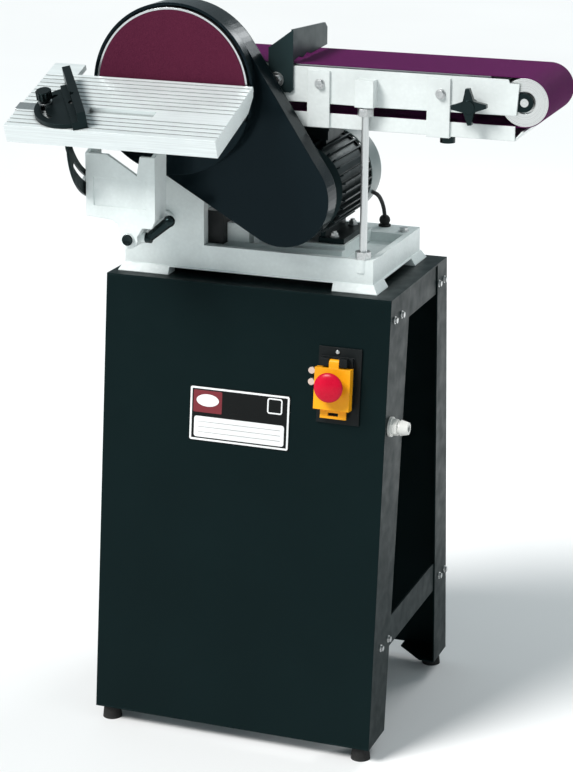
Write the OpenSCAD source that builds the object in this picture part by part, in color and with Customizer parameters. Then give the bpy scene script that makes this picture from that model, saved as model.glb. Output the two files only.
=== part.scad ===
// Belt and disc sander on a sheet-steel stand.
// Sizes are worked out from the stand's top front edge (y = 0), its middle (x = 0) and the floor (z = 0);
// row_frame() then moves everything so that the origin is the bottom centre of the whole machine.
// +X runs towards the idler end of the belt arm, +Y to the back, +Z up. The disc faces -Y.

/* [Stand] */
// Width of the stand
stand_w = 450; // [430:1:470]
// Depth of the stand at its top
stand_d = 285; // [280:1:300]
// Height of the stand's top face above the floor
stand_h = 707; // [680:1:730]
// How far the front panel leans forward at its foot
front_lean = 69; // [60:1:80]
// How far the rear panel leans back at its foot
rear_lean = 60; // [50:1:70]
// Height of the rubber feet
foot_h = 23; // [20:1:26]

/* [Disc] */
// Radius of the abrasive disc
disc_r = 114; // [110:1:116]
// Height of the disc's centre above the stand
disc_rise = 291; // [285:1:300]
// Outer radius of the disc's guard
guard_r = 124; // [122:1:128]

/* [Belt arm] */
// Width of the abrasive belt
belt_w = 150; // [140:1:152]
// Radius of the drum and of the idler
roller_r = 34.5; // [33:0.5:36]
// Distance between drum and idler centres
arm_reach = 500; // [490:1:505]

/* [Table] */
// Width of the table
table_w = 322; // [310:1:330]
// Depth of the table along its slope
table_d = 153; // [148:1:156]
// Forward tilt at which the table is set
table_tilt = 20; // [15:1:22]
// Swivel at which the mitre gauge is set
mitre_swivel = 32; // [20:1:40]

/* [Drive] */
// Height of the motor's axis above the base casting
motor_rise = 90; // [88:1:95]
// Radius of the motor's frame without its fins
motor_r = 66; // [60:1:68]

/* [Hidden] */
$fn = 96;
fit = 0.05;         // radial clearance of running fits
gap = 0.3;          // space between pieces that only pass each other
hull_fn = 32;       // facets on shapes that are rounded by a hull

// Colours
dark_green = "#1d2826";
casting_white = "#dfe4df";
belt_purple = "#5a1f45";
steel = "#b8bcc0";
black = "#17191a";

// Stand
sheet = 2;
stand_top_z = stand_h;
front_flange_top = 93;
front_flange_foot = 77;
rear_flange_top = 50;
rear_flange_foot = 69;
top_flange_h = 48;
rail_z = 154;
rail_h = 48;
rail_t = 3;
side_x = stand_w / 2;
front_foot_y = -front_lean;
rear_foot_y = stand_d + rear_lean;
function lean_share(z) = (stand_top_z - z) / (stand_top_z - foot_h);
function front_y(z) = -front_lean * lean_share(z);
function rear_y(z) = stand_d + rear_lean * lean_share(z);
panel_angle = atan(front_lean / (stand_h - foot_h));

// Disc, guard and drive, front to back along Y
disc_x = -103;
disc_z = stand_top_z + disc_rise;
disc_face_y = -33;
disc_plate_t = 10;
disc_edge_r = disc_r + 3;
guard_front_y = -29;
cover_front_y = -10;
cover_back_y = 26;
cover_wall = 2;
pylon_front_y = 29;
pylon_wall_t = 16;
arm_wall_y = 47;
arm_wall_t = 3;
belt_y = 52.5;
belt_t = 1;
belt_back_y = belt_y + belt_w;
arm_back_y = belt_back_y + 5;
pylon_rear_y = arm_back_y + 2;
spindle_r = 10;
pivot_r = 28;
motor_x = 58;
base_top_z = stand_top_z + 49;
motor_z = base_top_z + motor_rise;
spindle_pulley_r = 35;
motor_pulley_r = 45;
belt_cover_split_y = cover_back_y - cover_wall;
pulley_y = 8;
pulley_w = 14;
cover_foot_r = 72;

// Belt arm
idler_x = disc_x + arm_reach;
platen_z = disc_z + roller_r - 4.3;
guide_x = 300;
stem_guide_r = 6;
yoke_y = (arm_wall_y + arm_back_y) / 2;
star_x = 324;
star_z = disc_z - 6;
star_screw_r = 4;
stop_x0 = 17;
stop_x1 = 55;
stop_t = 3;
stop_bolt_x = 30;
stop_bolt_z = disc_z + 11;
stop_bolt_r = 4;
belt_r = roller_r + belt_t;
idler_z = disc_z;
frame_top_z = disc_z + roller_r - 2.5;
frame_low_z = disc_z - 20.5;
frame_end_x = idler_x - 9;
guard_low_z = disc_z - 54.5;
guard_top_z = disc_z - 33.5;
post_x = 168;
post_y = 38;
post_r = 5.5;
post_top_z = disc_z - 19.3;

thumb_x = 284;
thumb_y = 62;

// Base casting
base_x0 = -207;
base_x1 = 187;
base_y0 = 29;
base_y1 = 262;
base_flare = 9;
pylon_foot_x = -190;
bearing_r = 20;
rod_end_y = 64;
post_foot_z = base_top_z - 18;
motor_seat_z = base_top_z + 6;
base_bolt_r = 4;
base_bolt_spots = [[-198, 60], [-198, 195], [160, 52], [172, 225]];
cable_r = 3.2;
cable_sides = 10;
grommet_x = 134;
grommet_y = 248;
motor_bolt_r = 3.5;
motor_bolt_spots = [[motor_x - 45, 98], [motor_x - 45, 184], [motor_x + 45, 98], [motor_x + 45, 184]];

// Table: s runs down the slope from the back edge, d goes down from the table's face
table_x1 = 25;
table_x0 = table_x1 - table_w;
table_t = 8;
table_gap = 6;      // from the disc's face to the table's back edge
table_rise = 13;    // the back edge's height above the disc's centre
hinge_s = 8;
hinge_d = 15;
hinge_y = disc_face_y - table_gap - hinge_s * cos(table_tilt) + hinge_d * sin(table_tilt);
hinge_z = disc_z + table_rise - hinge_s * sin(table_tilt) - hinge_d * cos(table_tilt);
ear_r = 6.3;
pin_r = 3.2;
lug_t = 6;
flange_t = 6;
slot_s = 97;
slot_w = 19.1;
slot_depth = 8;
skirt_d = 27;
mitre_x = -213;
mitre_knob_r = 42;
protractor_r = 55;
bracket_x0 = -206;
bracket_x1 = -98;
bracket_front_y = -108;
bracket_back_y = -69;
bracket_z0 = 820;
rod_x = -140;
rod_z = 790;
rod_r = 8.5;
quadrant_r = 136;
quadrant_x = bracket_x0 - 6;
quadrant_t = 4;
lug_x = [bracket_x0 + flange_t + 0.5, bracket_x1 - flange_t - 0.5 - lug_t];
// The clamp bolt of the tilt sits this far forward of straight below the hinge
clamp_angle = 20;
clamp_r = 4;
clamp_y = hinge_y - quadrant_r * sin(clamp_angle);
clamp_z = hinge_z - quadrant_r * cos(clamp_angle);

// Limits of the whole machine, which set the frame's origin
mitre_bar_end = table_x0 - 4;
x_low = mitre_bar_end;
x_high = idler_x + belt_r;
y_low = hinge_y - (table_d - hinge_s) * cos(table_tilt) - hinge_d * sin(table_tilt);
y_high = rear_foot_y;

module row_frame() {
    translate([-(x_low + x_high) / 2, -(y_low + y_high) / 2, 0]) children();
}

// 2-D shapes drawn as (Y, Z) and run along X, or drawn as (X, Z) and run along Y
module along_x(x0, x1) {
    translate([x0, 0, 0]) rotate([90, 0, 90]) linear_extrude(x1 - x0) children();
}
module along_y(y0, y1) {
    translate([0, y1, 0]) rotate([90, 0, 0]) linear_extrude(y1 - y0) children();
}
module cyl_y(x, z, y0, y1, r) {
    translate([x, y0, z]) rotate([-90, 0, 0]) cylinder(h = y1 - y0, r = r);
}
module cyl_x(y, z, x0, x1, r) {
    translate([x0, y, z]) rotate([0, 90, 0]) cylinder(h = x1 - x0, r = r);
}
module cyl_z(x, y, z0, z1, r) {
    translate([x, y, z0]) cylinder(h = z1 - z0, r = r);
}
module box(x0, x1, y0, y1, z0, z1) {
    translate([x0, y0, z0]) cube([x1 - x0, y1 - y0, z1 - z0]);
}
// A flat ring sector between two radii and two angles, which are under 180 degrees apart
module ring_sector(r0, r1, a0, a1) {
    far = 3 * r1;
    mid = (a0 + a1) / 2;
    intersection() {
        difference() {
            circle(r = r1);
            circle(r = r0);
        }
        polygon([[0, 0], far * [cos(a0), sin(a0)], far * [cos(mid), sin(mid)], far * [cos(a1), sin(a1)]]);
    }
}
// The same with rounded ends, as a curved slot
module curved_slot(r, half_w, a0, a1) {
    ring_sector(r - half_w, r + half_w, a0, a1);
    for (a = [a0, a1])
        translate(r * [cos(a), sin(a)]) circle(r = half_w);
}
// A hexagon bolt head or nut with a washer, standing on z = 0 and pointing up
module hex_head(r, h) {
    cylinder(h = 1.2, r = r * 1.25);
    translate([0, 0, 1.2]) cylinder(h = h, r = r, $fn = 6);
}
// The front panel's own frame: X along the panel, Y into it and Z up its slope, at height z on its face
module on_front_panel(x, z) {
    translate([x, front_y(z), z]) rotate([-panel_angle, 0, 0]) children();
}
// The table's own frame: X along the table, Y up the slope from a point s down it, Z off its face
module on_table(x, s, h) {
    translate([x, hinge_y, hinge_z]) rotate([table_tilt, 0, 0])
        translate([0, hinge_s - s, hinge_d + h]) children();
}

// ---------------------------------------------------------------- stand

module leg_panel(top_y, foot_y, top_flange, foot_flange) {
    side = sign(top_flange);
    top_z = stand_top_z - sheet;
    along_x(-side_x, side_x)
        polygon([[top_y, top_z], [top_y + side * sheet, top_z], [foot_y + side * sheet, foot_h], [foot_y, foot_h]]);
    for (x = [-side_x, side_x - sheet])
        along_x(x, x + sheet)
            polygon([[top_y, top_z], [top_y + top_flange, top_z], [foot_y + foot_flange, foot_h], [foot_y, foot_h]]);
    for (m = [0, 1])
        mirror([m, 0, 0])
            translate([0, 0, foot_h])
                linear_extrude(sheet)
                    polygon([[side_x, foot_y], [side_x, foot_y + foot_flange], [side_x - 26, foot_y + foot_flange],
                             [side_x - 70, foot_y + side * 26], [side_x - 70, foot_y]]);
}

module stand_front() {
    color(dark_green) difference() {
        leg_panel(0, front_foot_y, front_flange_top, front_flange_foot);
        stand_bolt_holes();
    }
}

module stand_rear() {
    color(dark_green) difference() {
        leg_panel(stand_d, rear_foot_y, -rear_flange_top, -rear_flange_foot);
        stand_bolt_holes();
    }
}

module stand_top() {
    inner_x = side_x - sheet;
    color(dark_green) difference() {
        union() {
            box(-side_x, side_x, 0, stand_d, stand_top_z - sheet, stand_top_z);
            for (x = [-inner_x, inner_x - sheet])
                box(x, x + sheet, sheet, stand_d - sheet, stand_top_z - top_flange_h, stand_top_z - sheet);
        }
        stand_bolt_holes();
        for (spot = base_bolt_spots)
            cyl_z(spot[0], spot[1], stand_top_z - 9, stand_top_z + 1, base_bolt_r);
    }
}

module side_rails() {
    color(dark_green) difference() {
        for (m = [0, 1])
            mirror([m, 0, 0])
                along_x(side_x - sheet - rail_t, side_x - sheet)
                    polygon([[front_y(rail_z) + 8, rail_z], [front_y(rail_z + rail_h) + 8, rail_z + rail_h],
                             [rear_y(rail_z + rail_h) - 8, rail_z + rail_h], [rear_y(rail_z) - 8, rail_z]]);
        stand_bolt_holes();
    }
}

module rubber_feet() {
    foot_in_x = 19;
    color(black)
        for (x = [-side_x + foot_in_x, side_x - foot_in_x])
            for (y = [front_foot_y + 20, rear_foot_y - 20])
                translate([x, y, 0]) cylinder(h = foot_h, r1 = 15, r2 = 12.5);
}

// Two bolts at each end of each top flange and of each rail, as [y, z]
top_bolt_z = stand_top_z - 33;
rail_bolt_z = rail_z + 17;
bolt_spots = [[17, top_bolt_z], [51, top_bolt_z], [244, top_bolt_z], [272, top_bolt_z],
              [-19, rail_bolt_z], [18, rail_bolt_z], [292, rail_bolt_z], [322, rail_bolt_z]];
stand_bolt_r = 3;

module stand_bolt_holes() {
    for (side = [-1, 1])
        for (spot = bolt_spots)
            cyl_x(spot[0], spot[1], side * (side_x - 4.5) - 6, side * (side_x - 4.5) + 6, stand_bolt_r);
}

module stand_bolts() {
    nut_x = side_x - sheet - rail_t;
    color(steel)
        for (m = [0, 1])
            mirror([m, 0, 0])
                for (spot = bolt_spots) {
                    translate([side_x, spot[0], spot[1]]) rotate([0, 90, 0]) hex_head(4.6, 3.2);
                    cyl_x(spot[0], spot[1], nut_x - 6, side_x, stand_bolt_r);
                    translate([nut_x, spot[0], spot[1]]) rotate([0, -90, 0]) cylinder(h = 4, r = 5, $fn = 6);
                }
}

module name_plate() {
    plate_w = 160;
    plate_h = 84;
    color(black)
        on_front_panel(-3, 509)
            box(-plate_w / 2, plate_w / 2, -1, 0, -plate_h / 2, plate_h / 2);
}

// ---------------------------------------------------------------- switch and cable inlet

switch_x = 148;
switch_z = 574;
flap_w = 55;
stem_r = 11.5;
flap_t = 14;
flap_y0 = -10;      // the box's face, measured out from the panel
flap_hinge_y = -15;
flap_hinge_z = 38;
button_z = 4;
button_r = 8.5;

module switch_box() {
    color(black) on_front_panel(switch_x, switch_z) {
        box(-29, 37, -3, 0, -56, 58);
        difference() {
            box(-26, 26, flap_y0, -3, -34, 44);
            cyl_y(0, button_z, flap_y0 - 1, -4, button_r + gap);
        }
        for (x = [-20, 8])
            box(x, x + 12, -20, flap_y0, 32, 44);
        cyl_x(flap_hinge_y, flap_hinge_z, -20, 20, 1.5);
    }
}

module switch_flap() {
    eye_r = 4.4;
    color("gold") on_front_panel(switch_x, switch_z) difference() {
        union() {
            difference() {
                box(-flap_w / 2, flap_w / 2, flap_y0 - gap - flap_t, flap_y0 - gap, -32, 30);
                box(-flap_w / 2 + 2.5, flap_w / 2 - 2.5, flap_y0 - flap_t + 2.5, flap_y0, -29.5, 27.5);
            }
            // Hinge eye between the box's two ears
            cyl_x(flap_hinge_y, flap_hinge_z, -7.6, 7.6, eye_r);
            box(-7.6, 7.6, flap_hinge_y - eye_r, flap_y0 - 0.6, 29, flap_hinge_z);
            // Hasp tab
            box(-20, 20, flap_y0 - gap - 3, flap_y0 - gap, -47, -32);
        }
        cyl_y(0, button_z, flap_y0 - flap_t - 2, flap_y0, stem_r + fit);
        cyl_x(flap_hinge_y, flap_hinge_z, -8, 8, 1.5 + fit);
        box(-8, 8, flap_y0 - 5, flap_y0, -43, -38);
    }
}

module stop_button() {
    cap_r = 22;
    color("crimson") on_front_panel(switch_x, switch_z)
        translate([0, 0, button_z]) rotate([90, 0, 0]) {
            translate([0, 0, 19]) cylinder(h = 15, r = stem_r);
            translate([0, 0, 34]) cylinder(h = 4, r1 = 15, r2 = cap_r);
            translate([0, 0, 38]) cylinder(h = 6, r = cap_r);
            translate([0, 0, 44]) cylinder(h = 3, r1 = cap_r, r2 = cap_r - 4);
        }
}

module start_button() {
    color("seagreen") on_front_panel(switch_x, switch_z)
        cyl_y(0, button_z, flap_y0 - 3, -7, button_r);
}

module indicator_lamps() {
    color("mistyrose") on_front_panel(switch_x - 39, switch_z)
        for (z = [3, 20])
            cyl_y(0, z, -4, 0, 5);
}

gland_y = 5;
gland_z = 515;

module cable_gland() {
    color("gainsboro") translate([side_x, gland_y, gland_z]) rotate([0, 90, 0])
        difference() {
            union() {
                cylinder(h = 4, r = 15);
                translate([0, 0, 4]) cylinder(h = 9, r = 13, $fn = 6);
                translate([0, 0, 13]) cylinder(h = 4, r = 10);
                translate([0, 0, 17]) cylinder(h = 12, r1 = 12, r2 = 9);
            }
            translate([0, 0, 3]) cylinder(h = 30, r = 5);
        }
}

// ---------------------------------------------------------------- base casting with its two bearing walls

module base_outline(grow) {
    polygon([[base_x0 - grow, base_y0 - grow * 0.9], [base_x1 + grow, base_y0 - grow * 0.9],
             [base_x1 + grow, base_y1 + grow], [base_x0 - grow, base_y1 + grow]]);
}

// A bearing wall seen from the front, wide at its foot and round at the spindle
module pylon_outline(foot_x0) {
    polygon([[foot_x0, base_top_z - 6], [-78.5, base_top_z - 6], [-78.5, 812], [-67, disc_z - 24],
             [-139, disc_z - 24], [-156, 812], [foot_x0, base_top_z + 8]]);
    translate([disc_x, disc_z]) circle(r = 42);
}

module base_casting() {
    rim = 10;
    tray = 14;
    arch = 11;
    floor_t = 8;
    tray_z = base_top_z - tray;
    web_top_z = 815;
    socket_r = 15;
    bearing_depth = 13;
    color(casting_white) difference() {
        union() {
            // Flared foot and upright rim
            hull() {
                translate([0, 0, stand_top_z]) linear_extrude(1) base_outline(base_flare);
                translate([0, 0, stand_top_z + 12]) linear_extrude(1) base_outline(1.5);
            }
            translate([0, 0, stand_top_z + 12]) linear_extrude(base_top_z - stand_top_z - 12) base_outline(0);
            along_y(pylon_front_y, pylon_front_y + pylon_wall_t) pylon_outline(pylon_foot_x);
            along_y(pylon_rear_y, pylon_rear_y + pylon_wall_t) pylon_outline(pylon_foot_x);
            cyl_y(disc_x, disc_z, pylon_front_y, arm_wall_y + arm_wall_t - gap, pivot_r - fit);
            cyl_y(disc_x, disc_z, arm_back_y - arm_wall_t + gap, pylon_rear_y + 1, pivot_r - fit);
            // Left web that ties the two bearing walls together
            along_y(pylon_front_y + 2, pylon_rear_y + 2)
                polygon([[pylon_foot_x, base_top_z - 6], [pylon_foot_x + 14, base_top_z - 6],
                         [-149, web_top_z], [-157, web_top_z]]);
            cyl_y(rod_x, rod_z, pylon_front_y - 7, 70, socket_r);
            // Boss beside the dust chute and raised seat of the motor
            box(-54, -19, 62, 82, base_top_z - 1, base_top_z + 30);
            box(motor_x - 68, motor_x + 68, 80, 206, base_top_z - 20, motor_seat_z);
            cyl_z(post_x, post_y, base_top_z - 20, base_top_z, 11);
        }
        // Sunken tray behind the front lip and along the right side
        box(-66, base_x1 - rim, base_y0 + rim, 66, tray_z, base_top_z + 1);
        box(motor_x + 68, base_x1 - rim, 60, 206, tray_z, base_top_z + 1);
        // Arches between the four feet
        box(-134, 126, base_y0 - 30, base_y1 + 30, stand_top_z - 1, stand_top_z + arch);
        box(base_x0 - 30, base_x1 + 30, 74, 210, stand_top_z - 1, stand_top_z + arch);
        // Hollow underside
        box(base_x0 + 18, base_x1 - 18, base_y0 + 18, base_y1 - 18, stand_top_z - 1, tray_z - floor_t);
        // Bearing seats, shaft holes, rod socket and bolt holes
        cyl_y(disc_x, disc_z, pylon_front_y - 1, pylon_front_y + bearing_depth, bearing_r);
        cyl_y(disc_x, disc_z, pylon_front_y, pylon_rear_y + pylon_wall_t, spindle_r + 2);
        cyl_y(disc_x, disc_z, pylon_rear_y + pylon_wall_t - bearing_depth, pylon_rear_y + pylon_wall_t + 1, bearing_r);
        cyl_y(rod_x, rod_z, pylon_front_y - 8, rod_end_y, rod_r);
        cyl_z(post_x, post_y, post_foot_z, base_top_z + 2, post_r - fit);
        for (spot = base_bolt_spots)
            cyl_z(spot[0], spot[1], stand_top_z - 1, base_top_z + 1, base_bolt_r);
        for (spot = motor_bolt_spots)
            cyl_z(spot[0], spot[1], motor_seat_z - 20, motor_seat_z + 1, motor_bolt_r);
        cyl_z(grommet_x, grommet_y, base_top_z - 40, base_top_z + 1, cable_r + gap);
    }
}

// Bolts that hold the casting to the stand, with nuts below, and bolts that hold the motor's feet
module mounting_bolts() {
    color(steel) {
        for (spot = base_bolt_spots) {
            head_z = spot[0] > 0 && spot[1] < 206 ? base_top_z - 14 : base_top_z;
            translate([spot[0], spot[1], head_z]) hex_head(6.5, 5);
            cyl_z(spot[0], spot[1], stand_top_z - 10, head_z, base_bolt_r);
            translate([spot[0], spot[1], stand_top_z - sheet - 6]) cylinder(h = 6, r = 6.5, $fn = 6);
        }
        for (spot = motor_bolt_spots) {
            translate([spot[0], spot[1], motor_seat_z + motor_foot_t]) hex_head(6, 5);
            cyl_z(spot[0], spot[1], motor_seat_z - 20, motor_seat_z + motor_foot_t + 9, motor_bolt_r);
        }
    }
}

module table_rod() {
    color(steel) cyl_y(rod_x, rod_z, bracket_front_y - 4, rod_end_y, rod_r);
}

// ---------------------------------------------------------------- motor and drive

motor_y0 = 62;
motor_y1 = 188;
motor_foot_t = 8;
shaft_r = 9.5;
stator_r = 60;
rotor_r = 38;
motor_bearing_r = 20;
terminal_z = motor_z + motor_r + 5;

module motor_body() {
    fins = 36;
    fin_h = 8;
    color(black) difference() {
        union() {
            cyl_y(motor_x, motor_z, motor_y0, motor_y1, motor_r);
            for (i = [0:fins - 1])
                translate([motor_x, motor_y0 + 2, motor_z]) rotate([0, i * 360 / fins, 0])
                    translate([motor_r - 1, 0, -1.2]) cube([fin_h + 1, motor_y1 - motor_y0 - 4, 2.4]);
            for (side = [-1, 1]) {
                foot_x = motor_x + side * 44;
                box(foot_x - 20, foot_x + 20, 86, 198, motor_seat_z, motor_seat_z + motor_foot_t);
                web_x = motor_x + side * 30;
                box(web_x - 4, web_x + 4, 90, motor_y1 - 4, motor_seat_z, motor_z - 40);
            }
            // Pad for the terminal box
            box(motor_x - 34, motor_x + 34, 88, 152, motor_z + 40, terminal_z);
        }
        cyl_y(motor_x, motor_z, motor_y0 - 1, motor_y1 + 1, stator_r);
        // Fins cut away under the terminal box
        box(motor_x - 41, motor_x + 41, 81, 159, terminal_z, terminal_z + 10);
        for (spot = motor_bolt_spots)
            cyl_z(spot[0], spot[1], motor_seat_z - 1, motor_seat_z + motor_foot_t + 1, motor_bolt_r);
    }
}

module motor_stator() {
    color("peru") difference() {
        cyl_y(motor_x, motor_z, motor_y0 + 14, motor_y1 - 14, stator_r);
        cyl_y(motor_x, motor_z, motor_y0 + 13, motor_y1 - 13, rotor_r + 1);
    }
}

module motor_end_shields() {
    nose_y = 48;
    back_y = motor_y1 + 6;
    color(black) {
        difference() {
            union() {
                translate([motor_x, motor_y0, motor_z]) rotate([90, 0, 0])
                    cylinder(h = motor_y0 - nose_y, r1 = motor_r + 3, r2 = 46);
                cyl_y(motor_x, motor_z, nose_y - 12, nose_y, 30);
            }
            cyl_y(motor_x, motor_z, nose_y - 13, motor_y0 + 1, shaft_r + 1);
            cyl_y(motor_x, motor_z, motor_y0 - 12, motor_y0 + 1, motor_bearing_r);
        }
        difference() {
            cyl_y(motor_x, motor_z, motor_y1, back_y, motor_r + 3);
            cyl_y(motor_x, motor_z, motor_y1 - 1, back_y + 1, motor_bearing_r);
        }
    }
}

module fan_cowl() {
    cowl_y0 = motor_y1 + 6;
    cowl_y1 = motor_y1 + 50;
    cowl_r = motor_r + 6;
    vent_rings = 4;
    ring_step = 13;
    color("slategray") difference() {
        cyl_y(motor_x, motor_z, cowl_y0, cowl_y1, cowl_r);
        cyl_y(motor_x, motor_z, cowl_y0 - 1, cowl_y1 - 2, cowl_r - 2);
        for (i = [1:vent_rings])
            for (a = [0:60 / i:359])
                cyl_y(motor_x + ring_step * i * cos(a), motor_z + ring_step * i * sin(a), cowl_y1 - 3, cowl_y1 + 1, 3.2);
    }
}

module motor_fan() {
    fan_y = motor_y1 + 14;
    blade_l = 40;
    color(black) difference() {
        union() {
            cyl_y(motor_x, motor_z, fan_y, fan_y + 3, 52);
            cyl_y(motor_x, motor_z, fan_y, fan_y + 22, 16);
            for (a = [0:45:359])
                translate([motor_x, fan_y, motor_z]) rotate([0, a, 0]) translate([14, 0, -1]) cube([blade_l, 22, 2]);
        }
        cyl_y(motor_x, motor_z, fan_y - 1, fan_y + 23, shaft_r);
    }
}

module motor_shaft() {
    color(steel) {
        cyl_y(motor_x, motor_z, 0, motor_y1 + 36, shaft_r);
        cyl_y(motor_x, motor_z, motor_y0 + 14, motor_y1 - 14, rotor_r);
    }
}

// A V-grooved pulley round an axis along Y
module pulley(x, z, r, bore) {
    half = pulley_w / 2;
    translate([x, pulley_y, z]) rotate([-90, 0, 0]) rotate_extrude()
        polygon([[bore, -half - 4], [bore + 8, -half - 4], [bore + 8, -half], [r, -half], [r, -half + 1.5],
                 [r - 8, -3], [r - 8, 3], [r, half - 1.5], [r, half], [bore, half]]);
}

module motor_pulley() {
    color(steel) pulley(motor_x, motor_z, motor_pulley_r, shaft_r);
}

module spindle_pulley() {
    color(steel) pulley(disc_x, disc_z, spindle_pulley_r, spindle_r);
}

// V-belt: a band round both pulleys, drawn as the difference of two hulled outlines
module v_belt() {
    inset = 6;
    color(black) along_y(pulley_y - 2.6, pulley_y + 2.6) difference() {
        hull() {
            translate([disc_x, disc_z]) circle(r = spindle_pulley_r, $fn = hull_fn * 2);
            translate([motor_x, motor_z]) circle(r = motor_pulley_r, $fn = hull_fn * 2);
        }
        hull() {
            translate([disc_x, disc_z]) circle(r = spindle_pulley_r - inset, $fn = hull_fn * 2);
            translate([motor_x, motor_z]) circle(r = motor_pulley_r - inset, $fn = hull_fn * 2);
        }
    }
}

module terminal_box() {
    lid_z = terminal_z + 14;
    color(black) {
        box(motor_x - 38, motor_x + 38, 84, 156, terminal_z, lid_z);
        box(motor_x - 40, motor_x + 40, 82, 158, lid_z, lid_z + 4);
    }
}

// Lead from the fan end of the motor down into the grommet at the back of the base casting
cable_points = [[124.3, 212, 816.9], [128.9, 212.5, 814.9], [131, 216, 812.5], [132, 222, 808.5],
                [132.5, 229, 803], [133, 237, 795], [133.7, 243, 785], [134, 248, 772], [134, 248, 752]];

function unit(v) = v / norm(v);
function tangent(points, i) = unit(points[min(i + 1, len(points) - 1)] - points[max(i - 1, 0)]);
function ring(points, i, r, sides) =
    let (t = tangent(points, i), u = unit(cross(t, [0, 1, 0.01])), w = cross(t, u))
    [for (k = [0:sides - 1]) points[i] + r * (cos(k * 360 / sides) * u + sin(k * 360 / sides) * w)];

module tube(points, r, sides) {
    n = len(points);
    rings = [for (i = [0:n - 1]) each ring(points, i, r, sides)];
    side_faces = [for (i = [0:n - 2]) for (k = [0:sides - 1])
        [i * sides + k, i * sides + (k + 1) % sides, (i + 1) * sides + (k + 1) % sides, (i + 1) * sides + k]];
    end_faces = [[for (k = [sides - 1:-1:0]) k], [for (k = [0:sides - 1]) (n - 1) * sides + k]];
    polyhedron(points = rings, faces = concat(side_faces, end_faces), convexity = 4);
}

module motor_cable() {
    color(black) tube(cable_points, cable_r, cable_sides);
}

module cable_grommet() {
    color(black) difference() {
        union() {
            cyl_z(grommet_x, grommet_y, base_top_z, base_top_z + 3, 9.5);
            cyl_z(grommet_x, grommet_y, base_top_z + 3, base_top_z + 8, 7);
            translate([grommet_x, grommet_y, base_top_z + 10]) sphere(r = 8.5);
        }
        cyl_z(grommet_x, grommet_y, base_top_z - 1, base_top_z + 30, cable_r + gap);
    }
}

module spindle_shaft() {
    color(steel) cyl_y(disc_x, disc_z, disc_face_y + 4, pylon_rear_y + pylon_wall_t + 2, spindle_r);
}

// Rolling bearings of the spindle in the casting's walls and of the motor in its end shields
module ball_bearings() {
    color(steel) {
        for (y = [pylon_front_y, pylon_rear_y + pylon_wall_t - 13])
            difference() {
                cyl_y(disc_x, disc_z, y, y + 13, bearing_r);
                cyl_y(disc_x, disc_z, y - 1, y + 14, spindle_r + fit);
            }
        for (span = [[motor_y0 - 12, motor_y0], [motor_y1, motor_y1 + 6]])
            difference() {
                cyl_y(motor_x, motor_z, span[0], span[1], motor_bearing_r);
                cyl_y(motor_x, motor_z, span[0] - 1, span[1] + 1, shaft_r + fit);
            }
    }
}

// Outline of the belt cover: the guard's circle and the motor pulley's circle joined by tangents
module cover_outline(shrink) {
    hull() {
        translate([disc_x, disc_z]) circle(r = guard_r - shrink, $fn = hull_fn * 3);
        translate([motor_x, motor_z]) circle(r = cover_foot_r - shrink, $fn = hull_fn * 2);
    }
}

module belt_cover() {
    color(black) difference() {
        along_y(cover_front_y, belt_cover_split_y) cover_outline(0);
        along_y(cover_front_y + cover_wall, cover_back_y + 1) cover_outline(cover_wall);
        cyl_y(disc_x, disc_z, cover_front_y - 1, cover_back_y, spindle_r + 14);
    }
}

module cover_back() {
    color(black) difference() {
        along_y(belt_cover_split_y, cover_back_y) cover_outline(0);
        cyl_y(disc_x, disc_z, belt_cover_split_y - 1, cover_back_y + 1, spindle_r + 6);
        cyl_y(motor_x, motor_z, belt_cover_split_y - 1, cover_back_y + 1, shaft_r + 8);
    }
}

module disc_guard() {
    lip_y = disc_face_y - 3.5;
    lip_t = 1.5;
    lip_top_z = disc_z - 38;
    color(black) {
        difference() {
            cyl_y(disc_x, disc_z, guard_front_y, cover_front_y, guard_r);
            cyl_y(disc_x, disc_z, guard_front_y - 1, cover_front_y + 1, disc_edge_r + 3);
        }
        // Lower half closed in front of the disc, below the table
        intersection() {
            difference() {
                cyl_y(disc_x, disc_z, lip_y, guard_front_y, guard_r);
                cyl_y(disc_x, disc_z, lip_y + lip_t, guard_front_y + 1, disc_edge_r + 3);
            }
            box(disc_x - guard_r, disc_x + guard_r, lip_y - 1, guard_front_y + 1, disc_z - guard_r, lip_top_z);
        }
    }
}

module disc_plate() {
    color(steel) difference() {
        union() {
            cyl_y(disc_x, disc_z, disc_face_y + 1, disc_face_y + 1 + disc_plate_t, disc_edge_r);
            cyl_y(disc_x, disc_z, disc_face_y + disc_plate_t, pulley_y - pulley_w / 2 - 4, 20);
        }
        cyl_y(disc_x, disc_z, disc_face_y + 4, pulley_y, spindle_r);
    }
}

module abrasive_disc() {
    color(belt_purple) cyl_y(disc_x, disc_z, disc_face_y, disc_face_y + 1, disc_r);
}

module dust_chute() {
    wall = 2;
    color(black) difference() {
        box(-84, -54.2, 46, 98, base_top_z, base_top_z + 50);
        box(-84 + wall, -54.2 - wall, 46 + wall, 99, base_top_z + wall, base_top_z + 50 - wall);
    }
}

// ---------------------------------------------------------------- table

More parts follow.
